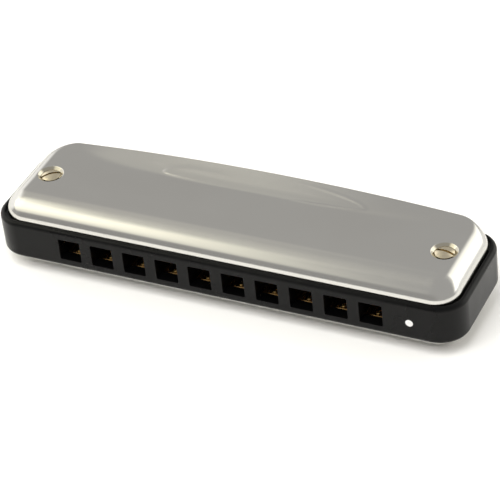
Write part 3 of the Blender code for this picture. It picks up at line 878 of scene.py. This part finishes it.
def build_key_dot():
    """A plain white spot beside the low hole, in place of the printed key mark."""
    profile = [
        (0.0, KEY_DOT_THICKNESS), (KEY_DOT_RADIUS * 0.9, KEY_DOT_THICKNESS),
        (KEY_DOT_RADIUS * 0.97, KEY_DOT_THICKNESS * 0.7), (KEY_DOT_RADIUS, 0.0),
        (KEY_DOT_RADIUS, -KEY_DOT_THICKNESS), (0.0, -KEY_DOT_THICKNESS),
    ]
    place = (KEY_DOT_X, COMB_LOW.y, MIDDLE + KEY_DOT_HEIGHT)
    dot = add_object("key_dot", turned_mesh("key_dot", profile, 48), place)
    dot.rotation_euler = (math.pi / 2, 0.0, 0.0)
    shade(dot)
    finish_piece(dot, INK, BODY)


# ---------------------------------------------------------------- reeds, rivets and plates

def node_centre(name):
    low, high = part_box(name)
    return (low[0] + high[0]) / 2, (low[1] + high[1]) / 2


def reed_span(side, number):
    low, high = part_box(f"{side}_reed_{number}")
    return low[1], high[1]


def strip(shape, stations):
    """Add a bar along Y with softened long edges: (y, half width, bottom, top) at each station."""
    rings = []
    for y, half, bottom, top in stations:
        soft = min(REED_SOFT, (top - bottom) / 4)
        plan = plan_ring((-half, bottom), (half, top), soft, 2)
        rings.append([(x, y, height) for x, height in plan])
    loft(shape, rings)


def soft_sheet(low, high, bottom, top, corner, steps):
    """A flat sheet with round plan corners and slightly softened edges."""
    levels = (
        (SHEET_SOFT, bottom), (0.0, bottom + SHEET_SOFT), (0.0, top - SHEET_SOFT),
        (SHEET_SOFT, top),
    )
    rings = []
    for inset, height in levels:
        plan = plan_ring(*grown(low, high, -inset), corner - inset, steps)
        rings.append([(x, y, height) for x, y in plan])
    shape = bmesh.new()
    loft(shape, rings)
    return shape


def build_reed(side, number):
    """A riveted pad and a filed tongue, in one strip of brass."""
    low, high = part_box(f"{side}_reed_{number}")
    rivet_x, rivet_y = node_centre(f"{side}_rivet_{number}")
    forward = 1 if side == "blow" else -1
    reach = high[1] - rivet_y if side == "blow" else rivet_y - low[1]
    hinge = (low[2] + high[2]) / 2
    bottom, top = low[2] - hinge, high[2] - hinge

    pad = soft_sheet(
        (-PAD_WIDTH / 2, -PAD_LENGTH / 2), (PAD_WIDTH / 2, PAD_LENGTH / 2), bottom, top,
        PAD_CORNER, 5,
    )
    tongue = bmesh.new()
    base = bottom + REED_BASE_GAP
    thick, thin = base + REED_THICKNESS, base + REED_THIN
    width = REED_WIDTH / 2
    start = RIVET_HEAD_RADIUS
    stations = [
        (forward * (start + (reach - start) * part), width, base, thin if filed else thick)
        for part, filed in REED_STATIONS
    ]
    stations.append((forward * reach, width - REED_TIP_TRIM, base, thick - REED_BASE_GAP))
    strip(tongue, stations)
    hole = bmesh.new()
    add_pin(hole, 0.0, 0.0, -MM, MM, RIVET_HOLE_RADIUS, 24)

    place = (rivet_x, rivet_y, hinge)
    name = f"{side}_reed_{number}_strip"
    reed = add_object(name, mesh_from(name, pad), place)
    reed = combine(reed, add_object("tongue", mesh_from("tongue", tongue), place), "UNION")
    reed = combine(reed, add_object("hole", mesh_from("hole", hole), place))
    shade(reed, 30.0)
    finish_piece(reed, REED, f"{side}_reed_{number}", f"{side}_reed_{number}")


def dome(radius, base, height, steps):
    """Profile points of a domed head, from its top down to its rim."""
    points = []
    for step in range(steps + 1):
        angle = step / steps * math.pi / 2
        points.append((radius * math.sin(angle), base + height * math.cos(angle)))
    return points


def build_rivets():
    for side in ("blow", "draw"):
        for number in range(1, HOLES + 1):
            node = f"{side}_rivet_{number}"
            low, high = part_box(node)
            x, y = node_centre(node)
            top = high[2]
            under = top - RIVET_HEAD_HEIGHT
            profile = dome(
                RIVET_HEAD_RADIUS, under + RIVET_HEAD_SIDE, RIVET_HEAD_HEIGHT - RIVET_HEAD_SIDE, 8
            )
            profile += [
                (RIVET_HEAD_RADIUS, under), (RIVET_RADIUS, under),
                (RIVET_RADIUS, low[2] + RIVET_TAIL_SOFT),
                (RIVET_RADIUS - RIVET_TAIL_SOFT, low[2]), (0.0, low[2]),
            ]
            rivet = add_object(node + "_turned", turned_mesh(node, profile, 32), (x, y, 0.0))
            shade(rivet, 40.0)
            finish_piece(rivet, RIVET, BODY, node)


def build_plate(side):
    """A rolled brass plate with round corners, milled slots and screw holes."""
    low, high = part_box(side + "_reed_plate")
    shape = soft_sheet(
        (low[0], low[1]), (high[0], high[1]), low[2], high[2], PLATE_CORNER, 6
    )
    plate = add_object(side + "_reed_plate_rolled", mesh_from("plate", shape))

    slots = bmesh.new()
    below, above = low[2] - MM, high[2] + MM
    half = REED_WIDTH / 2 + SLOT_GAP
    pad_end = PAD_LENGTH / 2 + SLOT_GAP
    for number in range(1, HOLES + 1):
        rivet_x, rivet_y = node_centre(f"{side}_rivet_{number}")
        start, end = reed_span(side, number)
        if side == "blow":
            start, end = rivet_y + pad_end, end + TIP_GAP
        else:
            start, end = start - TIP_GAP, rivet_y - pad_end
        add_box(slots, (rivet_x - half, start, below), (rivet_x + half, end, above))
        add_pin(slots, rivet_x, rivet_y, below, above, RIVET_HOLE_RADIUS, 24)
    for place in SCREW_PLACES:
        x, y = node_centre(f"{side}_plate_screw_{place}")
        add_pin(slots, x, y, below, above, PLATE_HOLE_RADIUS, 32)
    plate = combine(plate, add_object("slots", mesh_from("slots", slots)))
    shade(plate, 30.0)
    finish_piece(plate, PLATE, BODY, side + "_reed_plate")


# ---------------------------------------------------------------- screws and nuts

def cut_slot(item, half_width, bottom, turn):
    """Cut a screwdriver slot."""
    shape = bmesh.new()
    add_box(shape, (-half_width, -FAR, bottom), (half_width, FAR, FAR))
    slot = add_object("slot", mesh_from("slot", shape), item.location)
    slot.rotation_euler = (0.0, 0.0, turn + math.pi / 2)
    return combine(item, slot)


def cone_radius(height):
    """Radius of the seat side of a screw head at a height above the comb's middle plane."""
    above_bottom = height - (COVER_TOP - DIMPLE_DEPTH)
    return DIMPLE_HOLE_RADIUS - HEAD_GAP + above_bottom * DIMPLE_SLOPE


def build_cover_screws():
    low = COVER_TOP - DIMPLE_DEPTH + HEAD_SEAT_GAP
    high = low + HEAD_CONE_HEIGHT
    radius = cone_radius(high)
    head = [
        (r, high + HEAD_SIDE + (HEAD_DOME - HEAD_SIDE) * (1 - (r / radius) ** 2))
        for r in [radius * step / 12 for step in range(13)]
    ]
    screw_profile = head + [
        (radius, high), (cone_radius(low), low), (SHANK_RADIUS, low),
        (SHANK_RADIUS, -high + SHANK_POINT), (SHANK_RADIUS - SHANK_POINT, -high), (0.0, -high),
    ]
    bore = SHANK_RADIUS + NUT_BORE_GAP
    nut_profile = [
        (bore, high + NUT_RISE), (radius * 0.72, high + NUT_RISE),
        (radius * 0.9, high + NUT_RISE * 0.7), (radius, high + NUT_RISE * 0.15),
        (radius, high), (cone_radius(low), low), (bore, low),
    ]
    for side, x in (("left", -COVER_SCREW_X), ("right", COVER_SCREW_X)):
        place = (x, COVER_SCREW_Y, MIDDLE)
        name = "cover_screw_" + side
        screw = add_object(name + "_turned", turned_mesh(name, screw_profile, 64), place)
        screw = cut_slot(screw, SLOT_WIDTH / 2, high - SLOT_DEPTH, SLOT_TURNS[side])
        round_edges(screw, HEAD_SOFT, 2, 40.0)
        shade(screw)
        finish_piece(screw, NICKEL, BODY, name)

        name = "cover_nut_" + side
        nut = add_object(name + "_turned", turned_mesh(name, nut_profile, 64, closed=True), place)
        nut.rotation_euler = (0.0, math.pi, 0.0)
        shade(nut)
        finish_piece(nut, NICKEL, BODY, name)


def build_plate_screws():
    for side, turn in (("draw", 0.0), ("blow", math.pi)):
        for place in SCREW_PLACES:
            node = f"{side}_plate_screw_{place}"
            low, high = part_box(node)
            x, y = node_centre(node)
            near = high[2] - MIDDLE if side == "draw" else MIDDLE - low[2]
            far = low[2] - MIDDLE if side == "draw" else MIDDLE - high[2]
            under = near - PLATE_SCREW_HEAD_HEIGHT
            profile = dome(
                PLATE_SCREW_HEAD_RADIUS, under + PLATE_SCREW_HEAD_SIDE,
                PLATE_SCREW_HEAD_HEIGHT - PLATE_SCREW_HEAD_SIDE, 8,
            )
            profile += [
                (PLATE_SCREW_HEAD_RADIUS, under), (PLATE_SCREW_RADIUS, under),
                (PLATE_SCREW_RADIUS, far + PLATE_SCREW_POINT),
                (PLATE_SCREW_POINT_RADIUS, far), (0.0, far),
            ]
            screw = add_object(node + "_turned", turned_mesh(node, profile, 40), (x, y, MIDDLE))
            screw = cut_slot(
                screw, PLATE_SCREW_SLOT_WIDTH / 2, near - PLATE_SCREW_SLOT_DEPTH,
                PLATE_SCREW_SLOT_TURN,
            )
            screw.rotation_euler = (0.0, turn, 0.0)
            shade(screw)
            finish_piece(screw, NICKEL, BODY, node)


build_covers()
build_comb()
build_key_dot()
for plate_side in ("blow", "draw"):
    build_plate(plate_side)
    for reed_number in range(1, HOLES + 1):
        build_reed(plate_side, reed_number)
build_rivets()
build_cover_screws()
build_plate_screws()


# ---------------------------------------------------------------- studio

def build_floor():
    """A white sheet under the object: it touches the lower cover's rear lip and front bend."""
    material = new_material("floor_white", (0.9, 0.89, 0.87), 0.7, 0.0, 0.1)
    shader = material.node_tree.nodes["Principled BSDF"]
    shader.inputs["Emission Color"].default_value = (1.0, 1.0, 1.0, 1.0)
    shader.inputs["Emission Strength"].default_value = FLOOR_GLOW
    shape = bmesh.new()
    bmesh.ops.create_grid(shape, x_segments=1, y_segments=1, size=4.0)
    floor = add_object("floor", mesh_from("floor", shape), (0.0, COVER_REAR, 0.0))
    floor.rotation_euler = (-FLOOR_TILT, 0.0, 0.0)
    floor.data.materials.append(material)


def build_world():
    """A dim even room, brighter to the left and low behind on the right, darker low in front."""
    world = bpy.data.worlds.new("studio")
    bpy.context.scene.world = world
    world.use_nodes = True
    tree = world.node_tree
    background = tree.nodes["Background"]
    background.inputs["Color"].default_value = (1.0, 0.99, 0.965, 1.0)
    place = tree.nodes.new("ShaderNodeTexCoord")
    level = None
    for direction, start, end, amount in WORLD_GLOWS:
        towards = tree.nodes.new("ShaderNodeVectorMath")
        towards.operation = "DOT_PRODUCT"
        towards.inputs[1].default_value = Vector(direction).normalized()
        tree.links.new(place.outputs["Generated"], towards.inputs[0])
        glow = tree.nodes.new("ShaderNodeMapRange")
        glow.interpolation_type = "SMOOTHSTEP"
        glow.inputs["From Min"].default_value = start
        glow.inputs["From Max"].default_value = end
        glow.inputs["To Min"].default_value = 0.0
        glow.inputs["To Max"].default_value = amount
        tree.links.new(towards.outputs["Value"], glow.inputs["Value"])
        total = tree.nodes.new("ShaderNodeMath")
        total.operation = "ADD"
        total.inputs[1].default_value = WORLD_STRENGTH
        tree.links.new(glow.outputs["Result"], total.inputs[0])
        if level:
            tree.links.new(level, total.inputs[1])
        level = total.outputs["Value"]
    tree.links.new(level, background.inputs["Strength"])


def product(material, first, second):
    node = add_node(material, "ShaderNodeMath", operation="MULTIPLY")
    join(material, first, node.inputs[0])
    join(material, second, node.inputs[1])
    return node.outputs["Value"]


def add_card(name, height, low, high, strength, fades, colour):
    """A level glowing card over the object. Its glow fades between pairs of places on X and Y."""
    material = bpy.data.materials.new(name)
    material.use_nodes = True
    nodes = material.node_tree.nodes
    nodes.remove(nodes["Principled BSDF"])
    output = nodes["Material Output"]
    place = add_node(material, "ShaderNodeTexCoord")
    split = add_node(material, "ShaderNodeSeparateXYZ")
    join(material, place.outputs["Object"], split.inputs["Vector"])
    level = None
    for axis, start, end in fades:
        step = smooth_step(material, split.outputs[axis], start, end)
        level = step if level is None else product(material, level, step)
    power = add_node(material, "ShaderNodeMath", operation="MULTIPLY")
    power.inputs[1].default_value = strength
    join(material, level, power.inputs[0])
    glow = add_node(material, "ShaderNodeEmission")
    glow.inputs["Color"].default_value = (*colour, 1.0)
    join(material, power.outputs["Value"], glow.inputs["Strength"])
    clear = add_node(material, "ShaderNodeBsdfTransparent")
    both = add_node(material, "ShaderNodeAddShader")
    join(material, glow.outputs["Emission"], both.inputs[0])
    join(material, clear.outputs["BSDF"], both.inputs[1])
    join(material, both.outputs["Shader"], output.inputs["Surface"])
    shape = bmesh.new()
    corners = ((low[0], low[1]), (high[0], low[1]), (high[0], high[1]), (low[0], high[1]))
    shape.faces.new([shape.verts.new((x, y, height)) for x, y in corners])
    mesh = bpy.data.meshes.new(name)
    shape.to_mesh(mesh)
    shape.free()
    card = add_object(name, mesh)
    card.data.materials.append(material)
    card.visible_camera = False
    card.visible_shadow = False


def add_fill():
    """A soft overhead light that polished metal does not reflect."""
    light = bpy.data.lights.new("fill_overhead", "AREA")
    light.shape = "RECTANGLE"
    light.size, light.size_y = FILL_SIZE
    light.energy = FILL_POWER
    item = bpy.data.objects.new("fill_overhead", light)
    bpy.context.scene.collection.objects.link(item)
    item.location = FILL_PLACE
    item.rotation_euler = (-Vector(FILL_PLACE)).to_track_quat("-Z", "Y").to_euler()
    item.visible_glossy = False


def build_camera():
    data = bpy.data.cameras.new("camera")
    data.lens = CAMERA_LENS
    data.sensor_width = 36.0
    data.clip_start = 0.01
    data.clip_end = 20.0
    camera = bpy.data.objects.new("camera", data)
    bpy.context.scene.collection.objects.link(camera)
    place, target = Vector(CAMERA_PLACE), Vector(CAMERA_TARGET)
    look = (target - place).to_track_quat("-Z", "Y").to_matrix().to_4x4()
    roll = Matrix.Rotation(math.radians(CAMERA_ROLL), 4, "Z")
    camera.matrix_world = Matrix.Translation(place) @ look @ roll
    bpy.context.scene.camera = camera


build_floor()
build_world()
for card in CARDS:
    add_card(*card)
add_fill()
build_camera()
bpy.context.scene.view_settings.view_transform = "Standard"
